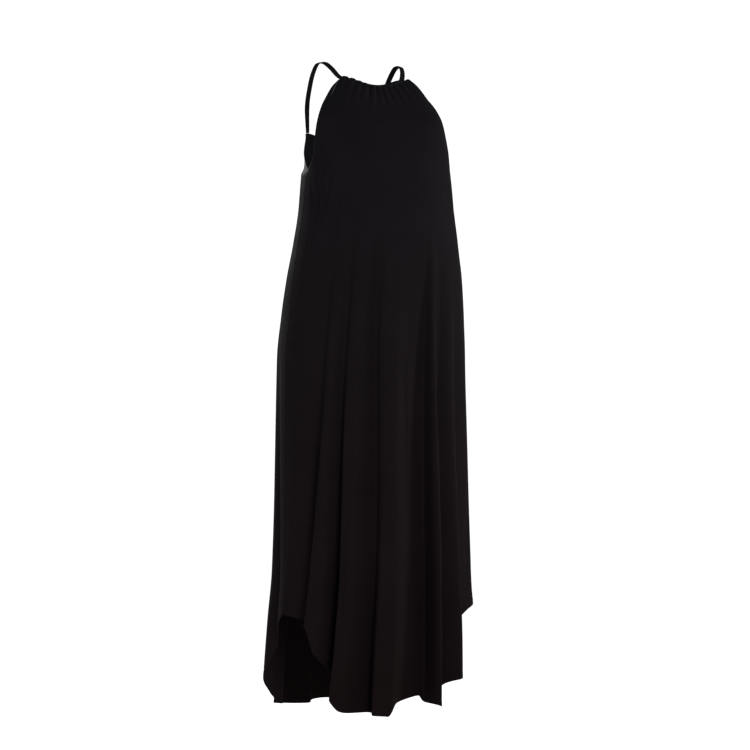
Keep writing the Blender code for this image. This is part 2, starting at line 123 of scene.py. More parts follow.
BACK_TOP = [
    (0.00, 0.0740, 0.0910, -0.1410, 0.1030, -0.1620, 40.0, 2.00),
    (0.16, 0.0800, 0.0850, -0.1570, 0.1015, -0.1720, 50.0, 2.00),
    (0.34, 0.0890, 0.0720, -0.1760, 0.0990, -0.1830, 60.0, 2.00),
    (0.52, 0.1000, 0.0500, -0.1940, 0.0955, -0.1940, 70.0, 2.00),
    (0.68, 0.1120, 0.0250, -0.2060, 0.0920, -0.2040, 78.0, 2.00),
    (0.83, 0.1250, -0.0060, -0.2150, 0.0890, -0.2120, 84.0, 2.00),
    (0.94, 0.1360, -0.0380, -0.2205, 0.0870, -0.2185, 88.0, 2.00),
    (1.00, 0.1420, -0.0610, -0.2220, 0.0860, -0.2220, 90.0, 2.00),
]

# Hem level round each panel, from the wearer's right seam to the left one
HEM_COLUMNS = ("across", "level")
FRONT_HEM = [
    (-1.00, -1.0780),
    (-0.86, -1.0850),
    (-0.75, -1.0980),
    (-0.68, -1.1400),
    (-0.60, -1.1820),
    (-0.55, -1.2320),
    (-0.47, -1.2520),
    (-0.33, -1.2560),
    (-0.25, -1.2600),
    (-0.17, -1.2600),
    (-0.11, -1.2370),
    (0.07, -1.2290),
    (0.18, -1.2460),
    (0.25, -1.2400),
    (0.31, -1.2080),
    (0.42, -1.1940),
    (0.50, -1.1300),
    (0.57, -1.0840),
    (0.70, -1.0640),
    (0.86, -1.0680),
    (1.00, -1.0780),
]
BACK_HEM = [
    (-1.00, -1.0780),
    (-0.88, -1.1080),
    (-0.74, -1.1780),
    (-0.60, -1.2340),
    (-0.44, -1.2720),
    (-0.20, -1.2840),
    (0.00, -1.2800),
    (0.22, -1.2850),
    (0.44, -1.2700),
    (0.60, -1.2300),
    (0.76, -1.1640),
    (0.90, -1.1020),
    (1.00, -1.0780),
]

# Hanging folds: they start at a level, deepen down to the hem and wander a little.
# Across runs from -1 at the wearer's right seam to 1 at the left one. Widths are shares of the same.
# Depth is in millimetres, outward for a ridge and inward for a valley.
FOLD_COLUMNS = ("name", "across_top", "across_hem", "start", "right_width", "left_width", "depth")
FRONT_FOLDS = [
    ("valley_1", -0.560, -0.810, -0.300, 0.170, 0.060, -34.0),
    ("ridge_1", -0.520, -0.650, -0.400, 0.060, 0.055, 8.0),
    ("valley_2", -0.415, -0.605, -0.280, 0.090, 0.050, -44.0),
    ("ridge_2", -0.320, -0.440, -0.440, 0.090, 0.090, 9.0),
    ("valley_3", -0.215, -0.300, -0.300, 0.120, 0.050, -37.0),
    ("ridge_3", -0.070, -0.150, -0.420, 0.110, 0.070, 12.0),
    ("valley_4", 0.158, 0.106, -0.360, 0.300, 0.048, -36.0),
    ("ridge_4", 0.205, 0.172, -0.340, 0.045, 0.045, 19.0),
    ("valley_5", 0.285, 0.285, -0.360, 0.065, 0.080, -31.0),
    ("ridge_5", 0.385, 0.368, -0.380, 0.070, 0.060, 11.0),
    ("valley_6", 0.470, 0.530, -0.440, 0.070, 0.100, -24.0),
    ("ridge_6", 0.610, 0.680, -0.540, 0.100, 0.100, 10.0),
    ("valley_7", 0.760, 0.830, -0.500, 0.080, 0.110, -14.0),
]
BACK_FOLDS = [
    ("valley_1", -0.780, -0.800, -0.480, 0.120, 0.090, -12.0),
    ("ridge_1", -0.600, -0.650, -0.420, 0.120, 0.100, 8.0),
    ("valley_2", -0.440, -0.470, -0.340, 0.140, 0.080, -22.0),
    ("ridge_2", -0.280, -0.290, -0.300, 0.120, 0.110, 9.0),
    ("valley_3", -0.120, -0.110, -0.360, 0.130, 0.090, -18.0),
    ("ridge_3", 0.030, 0.060, -0.330, 0.110, 0.110, 8.0),
    ("valley_4", 0.180, 0.210, -0.380, 0.080, 0.150, -23.0),
    ("ridge_4", 0.330, 0.370, -0.300, 0.110, 0.120, 10.0),
    ("valley_5", 0.470, 0.520, -0.380, 0.080, 0.130, -19.0),
    ("ridge_5", 0.620, 0.670, -0.460, 0.110, 0.110, 9.0),
    ("valley_6", 0.790, 0.820, -0.500, 0.090, 0.110, -12.0),
]

# Drag folds that fade out at both ends
DRAG_COLUMNS = ("name", "across_top", "across_low", "top", "low", "half_width", "depth")
FRONT_DRAGS = [
    ("right_bust", -0.52, -0.71, -0.190, -0.440, 0.085, -5.5),
    ("right_underarm", -0.74, -0.88, -0.225, -0.430, 0.070, -4.5),
    ("right_waist", -0.44, -0.62, -0.330, -0.480, 0.070, -3.5),
    ("left_bust", 0.56, 0.72, -0.195, -0.430, 0.085, -4.5),
    ("left_underarm", 0.78, 0.87, -0.240, -0.420, 0.070, -4.0),
]
BACK_DRAGS = [
    ("right_blade", -0.62, -0.40, -0.200, -0.520, 0.120, -4.0),
    ("left_blade", 0.58, 0.36, -0.195, -0.500, 0.120, -4.5),
    ("small_of_back", -0.06, 0.05, -0.260, -0.520, 0.130, -3.5),
]

# Small creases that only the cloth shows, laid between the main folds
FRONT_CREASES = [
    ("underarm_1", -0.93, -0.80, -0.235, -0.330, 0.030, -2.2),
    ("underarm_2", -0.84, -0.72, -0.215, -0.345, 0.032, -2.6),
    ("underarm_3", -0.70, -0.79, -0.150, -0.300, 0.035, -2.4),
    ("bust_side", -0.60, -0.76, -0.165, -0.380, 0.034, -2.6),
    ("bust_low", -0.46, -0.66, -0.235, -0.430, 0.036, -2.2),
    ("rib_right", -0.80, -0.90, -0.330, -0.560, 0.036, -2.4),
    ("hip_right", -0.86, -0.84, -0.480, -0.800, 0.040, -3.0),
    ("left_arm_1", 0.90, 0.78, -0.230, -0.330, 0.030, -2.0),
    ("left_arm_2", 0.72, 0.83, -0.160, -0.330, 0.034, -2.4),
    ("left_bust_side", 0.52, 0.66, -0.200, -0.400, 0.036, -2.2),
    ("left_rib", 0.68, 0.80, -0.330, -0.580, 0.040, -2.6),
    ("belly_1", -0.30, -0.36, -0.460, -0.760, 0.045, -1.6),
    ("belly_2", -0.06, -0.03, -0.500, -0.900, 0.045, -2.0),
    ("belly_3", 0.30, 0.33, -0.520, -0.940, 0.035, -2.2),
    ("skirt_1", -0.46, -0.47, -0.740, -1.300, 0.035, -2.8),
    ("skirt_2", -0.17, -0.19, -0.800, -1.320, 0.040, -2.8),
    ("skirt_3", 0.13, 0.14, -0.760, -1.320, 0.030, -2.4),
    ("skirt_4", 0.62, 0.63, -0.700, -1.200, 0.040, -3.0),
]
BACK_CREASES = [
    ("arm_right", -0.92, -0.74, -0.230, -0.340, 0.035, -2.2),
    ("blade_right", -0.74, -0.56, -0.190, -0.380, 0.040, -2.6),
    ("arm_left", 0.92, 0.76, -0.228, -0.350, 0.035, -2.4),
    ("blade_left", 0.72, 0.52, -0.195, -0.390, 0.040, -2.4),
    ("waist_right", -0.36, -0.30, -0.300, -0.560, 0.050, -2.2),
    ("waist_left", 0.30, 0.25, -0.320, -0.600, 0.050, -2.2),
    ("middle_1", -0.20, -0.19, -0.620, -1.050, 0.040, -2.6),
    ("middle_2", 0.12, 0.13, -0.660, -1.340, 0.040, -3.0),
    ("side_1", -0.58, -0.58, -0.700, -1.300, 0.040, -3.0),
    ("side_2", 0.57, 0.60, -0.680, -1.260, 0.040, -3.0),
]

# Gathers below the front neckline. Reach is how far down each one runs, in metres.
GATHER_COLUMNS = ("across_top", "across_low", "half_width", "depth", "reach")
GATHERS = [
    (-0.93, -0.95, 0.060, 2.2, 0.050),
    (-0.78, -0.82, 0.070, 3.4, 0.075),
    (-0.61, -0.66, 0.070, 3.8, 0.085),
    (-0.46, -0.50, 0.070, 3.2, 0.070),
    (-0.30, -0.34, 0.075, 4.0, 0.095),
    (-0.14, -0.16, 0.070, 3.6, 0.075),
    (0.01, 0.00, 0.070, 3.4, 0.090),
    (0.16, 0.18, 0.070, 3.8, 0.080),
    (0.31, 0.35, 0.070, 3.2, 0.095),
    (0.47, 0.52, 0.075, 4.0, 0.080),
    (0.63, 0.68, 0.070, 3.2, 0.090),
    (0.79, 0.83, 0.070, 3.2, 0.070),
    (0.93, 0.95, 0.060, 2.0, 0.050),
]
FINE_GATHERS = [
    (-0.86, -0.88, 0.026, 1.1, 0.030),
    (-0.70, -0.73, 0.026, 1.3, 0.042),
    (-0.535, -0.57, 0.024, 1.2, 0.034),
    (-0.38, -0.42, 0.026, 1.4, 0.046),
    (-0.22, -0.25, 0.024, 1.2, 0.036),
    (-0.065, -0.08, 0.026, 1.3, 0.042),
    (0.085, 0.09, 0.024, 1.2, 0.034),
    (0.235, 0.26, 0.026, 1.4, 0.044),
    (0.39, 0.43, 0.024, 1.2, 0.036),
    (0.55, 0.59, 0.026, 1.3, 0.044),
    (0.71, 0.75, 0.024, 1.2, 0.036),
    (0.86, 0.89, 0.024, 1.0, 0.030),
]

# Straps of the neckband past the front corners, for the wearer's left side:
# a point of the strap's middle line and the way that its face looks
STRAP = [
    (0.0770, -0.0280, -0.0150, 0.30, -0.38, 0.87),
    (0.0830, -0.0040, -0.0020, 0.26, -0.10, 0.96),
    (0.0850, 0.0160, -0.0010, 0.24, 0.22, 0.94),
    (0.0845, 0.0400, -0.0150, 0.22, 0.56, 0.80),
    (0.0825, 0.0640, -0.0440, 0.18, 0.78, 0.60),
    (0.0800, 0.0830, -0.0820, 0.16, 0.90, 0.40),
]
STRAP_END_FACE = (0.14, 0.96, 0.22)

# Rows of the panels' mesh just above the hem, closest at the stitching and at the rounded edge,
# as shares of the panel's height below the underarm
HEM_ROWS = (0.0220, 0.0190, 0.0165, 0.0145, 0.0130, 0.0122, 0.0115, 0.0108, 0.0100, 0.0092,
            0.0086, 0.0080, 0.0070, 0.0050, 0.0030, 0.0016, 0.0009, 0.0004, 0.0)


def smooth_table(x, y, at):
    """Monotone cubic through a table, so that nothing overshoots between its rows."""
    order = np.argsort(x)
    x = x[order]
    y = y[order]
    step = np.diff(x)
    slope = np.diff(y) / step
    tangent = np.zeros_like(y)
    tangent[0] = slope[0]
    tangent[-1] = slope[-1]
    for i in range(1, len(x) - 1):
        if slope[i - 1] * slope[i] > 0.0:
            near = 2.0 * step[i] + step[i - 1]
            far = step[i] + 2.0 * step[i - 1]
            tangent[i] = (near + far) / (near / slope[i - 1] + far / slope[i])
    at = np.clip(at, x[0], x[-1])
    k = np.clip(np.searchsorted(x, at) - 1, 0, len(x) - 2)
    t = (at - x[k]) / step[k]
    a = (1.0 + 2.0 * t) * (1.0 - t) ** 2
    b = t * (1.0 - t) ** 2
    c = t * t * (3.0 - 2.0 * t)
    d = t * t * (t - 1.0)
    return a * y[k] + b * step[k] * tangent[k] + c * y[k + 1] + d * step[k] * tangent[k + 1]


def look_up(rows, names, name, at):
    """One column of a table, read at places between the rows by its first column."""
    table = np.array(rows, dtype=float)
    return smooth_table(table[:, 0], table[:, names.index(name)], at)


def named_rows(names, rows):
    return [dict(zip(names, row)) for row in rows]


def ease(t):
    t = np.clip(t, 0.0, 1.0)
    return t * t * (3.0 - 2.0 * t)


def bell(t):
    t = np.clip(np.abs(t), 0.0, 1.0)
    return 0.5 + 0.5 * np.cos(math.pi * t)


def crease(t):
    """Narrower at its bottom than a bell, like a crease in soft cloth."""
    t = np.clip(np.abs(t), 0.0, 1.0)
    return (1.0 - t) ** 2 * (1.0 + 2.0 * t) * (0.65 + 0.35 * np.exp(-(t / 0.35) ** 2))


def unit(v):
    return v / np.maximum(np.linalg.norm(v, axis=-1, keepdims=True), 1e-12)


def arc_points(across, edge_x, edge_y, centre_y, turn, full):
    """Points at equal steps of length along rounded half rings, one ring per column."""
    share = np.linspace(0.0, 1.0, 121)[None, :]
    angle = share * np.radians(turn)[:, None]
    power = (2.0 / full)[:, None]
    x = np.sin(angle) ** power
    y = np.abs(np.cos(angle)) ** power
    x = edge_x[:, None] * x / x[:, -1:]
    y = edge_y[:, None] + (centre_y - edge_y)[:, None] * (y - y[:, -1:]) / (y[:, :1] - y[:, -1:])
    length = np.zeros_like(x)
    length[:, 1:] = np.cumsum(np.hypot(np.diff(x, axis=1), np.diff(y, axis=1)), axis=1)
    out_x = np.zeros(len(across))
    out_y = np.zeros(len(across))
    for j, u in enumerate(across):
        at = abs(u) * length[j, -1]
        out_x[j] = math.copysign(1.0, u) * np.interp(at, length[j], x[j])
        out_y[j] = np.interp(at, length[j], y[j])
    return out_x, out_y


def upper_rows(across, rows, steps):
    """Panel points between the top edge and the underarm level."""
    out = np.zeros((len(steps), len(across), 3))
    lift = ease(np.abs(across) ** 1.15)
    for i, step in enumerate(steps):
        at = np.full(len(across), step)
        value = {n: look_up(rows, TOP_COLUMNS, n, at) for n in TOP_COLUMNS[1:]}
        x, y = arc_points(across, value["edge_x"], value["edge_y"], value["centre_y"],
                          value["turn"], value["full"])
        z = value["centre_z"] + (value["edge_z"] - value["centre_z"]) * lift
        out[i] = np.stack([x, y, z], axis=1)
    return out


def lower_rows(across, hem, steps, far_name, full_name):
    """Panel points from the underarm level down to the hem."""
    level = look_up(hem, HEM_COLUMNS, "level", across)
    out = np.zeros((len(steps), len(across), 3))
    quarter_turn = np.full(len(across), 90.0)
    for i, step in enumerate(steps):
        z = BODY_TOP + (level - BODY_TOP) * step
        value = {n: look_up(RINGS, RING_COLUMNS, n, z) for n in RING_COLUMNS[1:]}
        x, y = arc_points(across, value["half_width"], value["side_y"], value[far_name],
                          quarter_turn, value[full_name])
        out[i] = np.stack([x, y, z], axis=1)
    return out


def hanging_depth(u, z, hem_z, folds):
    """Sum of the hanging folds. Valleys are creased, ridges are round, and none runs quite straight."""
    total = np.zeros_like(z)
    for k, fold in enumerate(named_rows(FOLD_COLUMNS, folds)):
        run = np.clip((fold["start"] - z) / (fold["start"] - hem_z), 0.0, 1.0)
        middle = fold["across_top"] + (fold["across_hem"] - fold["across_top"]) * run
        middle = middle + FOLD_WANDER * np.sin(7.0 * z + 1.7 * k) * run
        spread = np.where(u < middle, fold["right_width"], fold["left_width"])
        spread = spread * (1.25 - 0.25 * run) * (1.0 + 0.10 * np.sin(9.0 * z + 2.3 * k))
        valley = fold["depth"] < 0.0
        shape = crease((u - middle) / (1.12 * spread)) if valley else bell((u - middle) / spread)
        uneven = 1.0 + 0.10 * np.sin(6.0 * z + 0.9 * k)
        total += fold["depth"] * MM * run ** FOLD_RISE * shape * uneven
    return total


def sideways_lean(u, depth, turn_at):
    """Folds lie over to either side of one place, so one wall of each is steeper."""
    return FOLD_LEAN * np.sin(0.5 * math.pi * np.clip((u - turn_at) / LEAN_BLEND, -1.0, 1.0)) * depth


def drag_depth(u, z, drags, shape):
    """Sum of the drag folds, which fade out at both ends and bend a little."""
    total = np.zeros_like(z)
    for fold in named_rows(DRAG_COLUMNS, drags):
        run = (fold["top"] - z) / (fold["top"] - fold["low"])
        middle = fold["across_top"] + (fold["across_low"] - fold["across_top"]) * np.clip(run, 0.0, 1.0)
        middle = middle + 0.25 * fold["half_width"] * np.sin(5.0 * run + 12.0 * fold["across_top"])
        fade = bell(2.0 * run - 1.0) * ((run > 0.0) & (run < 1.0))
        total += fold["depth"] * MM * fade * shape((u - middle) / fold["half_width"])
    return total


def gather_depth(u, below, rows, lift):
    """Gathers held small at the seam, deepest a little below it and then fading out."""
    total = np.zeros_like(below)
    rise = 0.20 + 0.80 * ease(below / 0.011)
    for fold in named_rows(GATHER_COLUMNS, rows):
        run = below / fold["reach"]
        middle = fold["across_top"] + (fold["across_low"] - fold["across_top"]) * np.clip(run, 0.0, 1.0)
        strength = fold["depth"] * MM * rise * (1.0 - ease(run))
        total += strength * (lift - crease((u - middle) / (1.15 * fold["half_width"])))
    return total


def soft_noise(u, z, seed, stretch):
    """Slow uneven swell of hanging cloth, long down the grain and short across it."""
    rng = np.random.default_rng(seed)
    total = np.zeros_like(z)
    for k in range(14):
        across = rng.uniform(4.0, 20.0)
        down = rng.uniform(-1.0, 1.0) * stretch
        phase = rng.uniform(0.0, 2.0 * math.pi)
        total += np.sin(across * u + down * z + phase) / (1.0 + 0.25 * across)
    return total / 1.6


def grid_normals(points, side):
    down = np.gradient(points, axis=0)
    over = np.gradient(points, axis=1)
    normal = unit(np.cross(over, down))
    if np.sum(normal[:, :, 1]) * side < 0.0:
        normal = -normal
    return normal


def panel_columns(count):
    """Even columns, with a few close ones where the side seam rolls in."""
    inner = np.linspace(-0.984, 0.984, count)
    close = np.array([0.9885, 0.9925, 0.9955, 0.9978, 1.0])
    return np.concatenate([-close[::-1], inner, close])


def row_steps(count, power):
    return (np.arange(count + 1) / count) ** power


def make_mesh(name, verts, faces, material, uv=None):
    mesh = bpy.data.meshes.new(name)
    mesh.from_pydata(verts.tolist(), [], faces)
    if uv is not None:
        layer = mesh.uv_layers.new(name="grain")
        corner = np.zeros(len(mesh.loops), dtype=np.int32)
        mesh.loops.foreach_get("vertex_index", corner)
        layer.data.foreach_set("uv", uv[corner].astype(np.float32).ravel())
    mesh.polygons.foreach_set("use_smooth", np.ones(len(mesh.polygons), dtype=bool))
    mesh.materials.append(material)
    mesh.update()
    piece = bpy.data.objects.new(name, mesh)
    bpy.context.scene.collection.objects.link(piece)
    return piece


def shell_faces(rows, cols, flip):
    half = rows * cols
    i, j = np.meshgrid(np.arange(rows - 1), np.arange(cols - 1), indexing="ij")
    a = (i * cols + j).ravel()
    b = a + 1
    c = a + cols + 1
    d = a + cols
    outer = np.stack([a, b, c, d], axis=1)
    inner = np.stack([half + d, half + c, half + b, half + a], axis=1)
    j = np.arange(cols - 1)
    top = np.stack([j + 1, j, half + j, half + j + 1], axis=1)
    low = (rows - 1) * cols + j
    bottom = np.stack([low, low + 1, half + low + 1, half + low], axis=1)
    i = np.arange(rows - 1) * cols
    left = np.stack([i, i + cols, half + i + cols, half + i], axis=1)
    i = i + cols - 1
    right = np.stack([i + cols, i, half + i, half + i + cols], axis=1)
    faces = np.concatenate([outer, inner, top, bottom, left, right])
    if flip:
        faces = faces[:, ::-1]
    return faces.tolist()


def swell_depth(u, z, run_down, seed):
    """Slow swell of the cloth, stronger towards the hem and none at the top seam."""
    lower = 0.5 + 1.3 * ease((-0.35 - z) / 0.5)
    return 0.75 * MM * soft_noise(u, z, seed, 9.0) * lower * ease(run_down / 0.06)


def pucker_depth(u, z, run_down, to_hem):
    """Small puckers along the stitched hem and along the side seams."""
    at_hem = np.exp(-((to_hem - HEM_TURN) / 0.007) ** 2)
    at_side = np.exp(-((1.0 - np.abs(u)) / 0.018) ** 2) * (z < BODY_TOP)
    hem_pull = np.sin(u * 95.0 + 1.3 * np.sin(u * 31.0))
    seam_pull = np.sin(run_down * 300.0 + 2.0 * np.sin(run_down * 61.0))
    return 0.35 * MM * hem_pull * at_hem + 0.30 * MM * seam_pull * at_side


def hem_layer(to_hem):
    """0 above the turned-up hem, 1 on it, with a short step between."""
    return ease((HEM_TURN + HEM_STEP - to_hem) / 0.0016)


def hem_depth(to_hem):
    """The turned-up hem stands out a little, with a shallow line along each row of stitches."""
    depth = 0.35 * MM * hem_layer(to_hem)
    for line in HEM_STITCHING:
        depth += -0.22 * MM * np.exp(-((to_hem - line) / 0.0007) ** 2)
    return depth


def seam_roll(u, z):
    """The cloth rolls in at the side seams."""
    t = np.clip((np.abs(u) - 0.986) / 0.014, 0.0, 1.0)
    return -0.9 * MM * (1.0 - np.sqrt(np.clip(1.0 - t ** 2, 0.0, 1.0))) * (z < BODY_TOP + 0.004)


def grain_uv(base, run_down):
    """Knit coordinates in metres: across the panel at its middle row, and down the cloth."""
    rows, cols = run_down.shape
    row = base[rows // 2]
    width = np.concatenate([[0.0], np.cumsum(np.linalg.norm(np.diff(row, axis=0), axis=1))])
    width -= width[cols // 2]
    return np.stack([np.broadcast_to(width, (rows, cols)), -run_down], axis=2).reshape(-1, 2)


def panel_cloth(name, across, base, side, hem, folds, drags, creases, gathered, lean_turn, seed, material):
    """One panel as a thin folded shell. Returns it with its outer face, normals and way to the hem."""
    hem_z = look_up(hem, HEM_COLUMNS, "level", across)
    u = np.broadcast_to(across, base.shape[:2])
    z = base[:, :, 2]
    run_down = np.zeros(base.shape[:2])
    run_down[1:] = np.cumsum(np.linalg.norm(np.diff(base, axis=0), axis=2), axis=0)
    to_hem = run_down[-1:] - run_down
    # Folds, creases, gathers and swell fade out just before the side seams
    hanging = hanging_depth(u, z, hem_z, folds)
    free = hanging + drag_depth(u, z, drags, bell) + drag_depth(u, z, creases, crease)
    if gathered:
        free += gather_depth(u, run_down, GATHERS, 0.30) + gather_depth(u, run_down, FINE_GATHERS, 0.10)
    free += swell_depth(u, z, run_down, seed)
    calm = ease((1.0 - np.abs(u)) / EDGE_CALM)
    depth = free * calm + pucker_depth(u, z, run_down, to_hem) + hem_depth(to_hem) + seam_roll(u, z)
    sideways = unit(np.gradient(base, axis=1))
    lean = sideways_lean(u, hanging * calm, lean_turn)
    outer = base + grid_normals(base, side) * depth[:, :, None] + sideways * lean[:, :, None]
    # Two faces, which come together over a rounded hem edge
    turned = grid_normals(outer, side)
    thick = (CLOTH + HEM_SECOND_LAYER * hem_layer(to_hem))[:, :, None]
    round_off = np.sqrt(np.clip(1.0 - np.clip(1.0 - to_hem / 0.0009, 0.0, 1.0) ** 2, 0.02, 1.0))[:, :, None]
    middle = outer - turned * thick / 2
    face = middle + turned * thick * round_off / 2
    lining = middle - turned * thick * round_off / 2
    verts = np.concatenate([face.reshape(-1, 3), lining.reshape(-1, 3)])
    uv = grain_uv(base, run_down)
    rows, cols = base.shape[:2]
    piece = make_mesh(name, verts, shell_faces(rows, cols, side > 0), material, np.concatenate([uv, uv]))
    return piece, face, turned, to_hem


def run_along(points):
    """Length from the start of a line to each of its points."""
    return np.concatenate([[0.0], np.cumsum(np.linalg.norm(np.diff(points, axis=0), axis=1))])


def resample(points, count, *others):
    """A line as evenly spaced points, with what belongs to its points carried along."""
    length = run_along(points)
    at = np.linspace(0.0, length[-1], count)
    result = []
    for item in (points,) + others:
        result.append(np.stack([smooth_table(length, item[:, k], at) for k in range(item.shape[1])], axis=1))
    return result


def soften(points, passes):
    points = points.copy()
    for _ in range(passes):
        points[1:-1] = 0.25 * points[:-2] + 0.5 * points[1:-1] + 0.25 * points[2:]
    return points


def round_section(count, square):
    """Points round a soft rectangle two units wide and two high."""
    angle = np.linspace(0.0, 2.0 * math.pi, count, endpoint=False)
    c = np.cos(angle)
    s = np.sin(angle)
    return np.sign(c) * np.abs(c) ** (2.0 / square), np.sign(s) * np.abs(s) ** (2.0 / square)


def band_piece(name, centre, out_way, face_way, width, thick, seed, material):
    """A folded cloth band swept along a line, its inner edge lapping the panel a little."""
    along = unit(np.gradient(centre, axis=0))
    out_way = unit(out_way - along * np.sum(out_way * along, axis=1, keepdims=True))
    square = np.cross(along, out_way)
    face_way = unit(square * np.sign(np.sum(square * face_way, axis=1, keepdims=True)))
    run = run_along(centre)
    rng = np.random.default_rng(seed)
    sway = np.zeros(len(run))
    pucker = np.zeros(len(run))
    for k in range(5):
        sway += np.sin(run * rng.uniform(40.0, 150.0) + rng.uniform(0.0, 6.3)) / 5.0
        pucker += np.sin(run * rng.uniform(500.0, 1100.0) + rng.uniform(0.0, 6.3)) / 5.0
    a, b = round_section(28, 3.2)
    half_width = (width + BAND_LAP) / 2
    half_thick = thick / 2 * (1.0 + 0.10 * sway)
    middle = centre - out_way * BAND_LAP / 2
    verts = np.zeros((len(run), len(a), 3))
    for k in range(len(a)):
        # The face dips near both edges and swells between them
        dip = sum(math.exp(-((a[k] + line) / 0.16) ** 2) for line in (-BAND_STITCHING, BAND_STITCHING))
        height = b[k] * half_thick * (1.0 - 0.16 * dip) + 0.10 * MM * pucker * (1.0 - a[k]) * np.sign(b[k])
        verts[:, k] = middle + out_way * (a[k] * half_width) + face_way * height[:, None]
    rows, cols = verts.shape[:2]
    faces = []
    for i in range(rows - 1):
        for k in range(cols):
            n = (k + 1) % cols
            faces.append((i * cols + k, i * cols + n, (i + 1) * cols + n, (i + 1) * cols + k))
    faces.append(tuple(range(cols))[::-1])
    faces.append(tuple((rows - 1) * cols + k for k in range(cols)))
    around = np.linspace(0.0, 2.0 * (width + thick), cols)
    uv = np.stack(np.broadcast_arrays(around, run[:, None]), axis=2).reshape(-1, 2)
    turn = np.dot(np.cross(verts[0, 1] - verts[0, 0], verts[1, 0] - verts[0, 0]), verts[0, 0] - centre[0])
    if turn < 0.0:
        faces = [face[::-1] for face in faces]
    return make_mesh(name, verts.reshape(-1, 3), faces, material, uv), middle, out_way, face_way


def armhole_line(side, front, back):
    """The line of one armhole from the front corner, under the arm and up to the back corner."""
    edge = -1 if side > 0 else 0
    inward = -9 if side > 0 else 8
    lines = []
    for base, normal, order in (front + (1,), back + (-1,)):
        line = base[:, edge] - normal[:, edge] * WALL / 2
        keep = base[:, edge, 2] > BODY_TOP - 1e-6
        out = unit(base[:, edge] - base[:, inward])
        lines.append((line[keep][::order], out[keep][::order], normal[:, edge][keep][::order]))
    line = np.concatenate([lines[0][0], lines[1][0][1:]])
    hint = np.concatenate([lines[0][1], lines[1][1][1:]])
    face = np.concatenate([lines[0][2], lines[1][2][1:]])
    along = unit(np.gradient(line, axis=0))
    out = unit(np.cross(along, face))
    out = out * np.sign(np.sum(out * hint, axis=1, keepdims=True))
    seam = len(lines[0][0]) - 1
    out[seam] = unit(out[seam - 1] + out[seam + 1])
    for k, base in ((0, front[0]), (-1, back[0])):
        out[k] = unit(base[0, edge] - base[0, inward])
    line[0] += unit(line[1] - line[0]) * 0.4 * MM
    line[-1] += unit(line[-2] - line[-1]) * 0.4 * MM
    line, out, face = resample(line, 150, out, face)
    out = unit(soften(out, 6))
    face = unit(soften(face, 6))
    return line + out * (SEAM_GAP + ARMBAND_WIDTH / 2), out, face


def across_way(face, line):
    """The way across a band, square to its line and its face, and upward at its middle."""
    out = unit(np.cross(face, unit(np.gradient(line, axis=0))))
    return -out if out[len(out) // 2, 2] < 0.0 else out


def back_band_line(base, normal):
    """The seam line, and the band's middle line, way up and face, past the armhole bands at both ends."""
    line = base[0] - normal[0] * WALL / 2
    face = normal[0]
    along = unit(np.gradient(line, axis=0))
    up = across_way(face, line)
    reach = ARMBAND_WIDTH + SEAM_GAP
    line = np.concatenate([[line[0] - along[0] * reach], line, [line[-1] + along[-1] * reach]])
    up = np.concatenate([[up[0]], up, [up[-1]]])
    face = np.concatenate([[face[0]], face, [face[-1]]])
    return line, line + up * (SEAM_GAP + ARMBAND_WIDTH / 2), up, face


def neckband_line(base, normal, across, strap_end, end_ways):
    """Middle line, way across and face of the strip that binds the neckline and runs on as both straps."""
    line = base[0] - normal[0] * WALL / 2
    face = unit(np.stack([0.30 * across, -0.60 + 0.20 * across ** 2, 0.80 + 0.05 * across ** 2], axis=1))
    line, face = resample(line, 33, face)
    front_line = line + across_way(face, line) * (SEAM_GAP + NECKBAND_WIDTH / 2)
    strap = np.array(STRAP)
    left_points = np.concatenate([strap[:, :3], [strap_end]])
    left_faces = np.concatenate([strap[:, 3:], [STRAP_END_FACE]])
    mirror = np.array([-1.0, 1.0, 1.0])
    points = np.concatenate([(left_points * mirror)[::-1], front_line, left_points])
    faces = np.concatenate([(left_faces * mirror)[::-1], face, left_faces])
    centre, face = resample(points, 81, faces)
    centre = soften(centre, 1)
    face = unit(face)
    width_way = across_way(face, centre)
    # Both strap ends turn until they lie along the back band
    for k, way in ((0, end_ways[0]), (-1, end_ways[1])):
        way = way * np.sign(np.dot(way, width_way[k]))
        for j in range(6):
            i = k - j if k else j
            share = 1.0 - j / 6.0
            width_way[i] = unit(width_way[i] * (1.0 - share) + way * share)
    return resample(centre, 330, width_way, face)


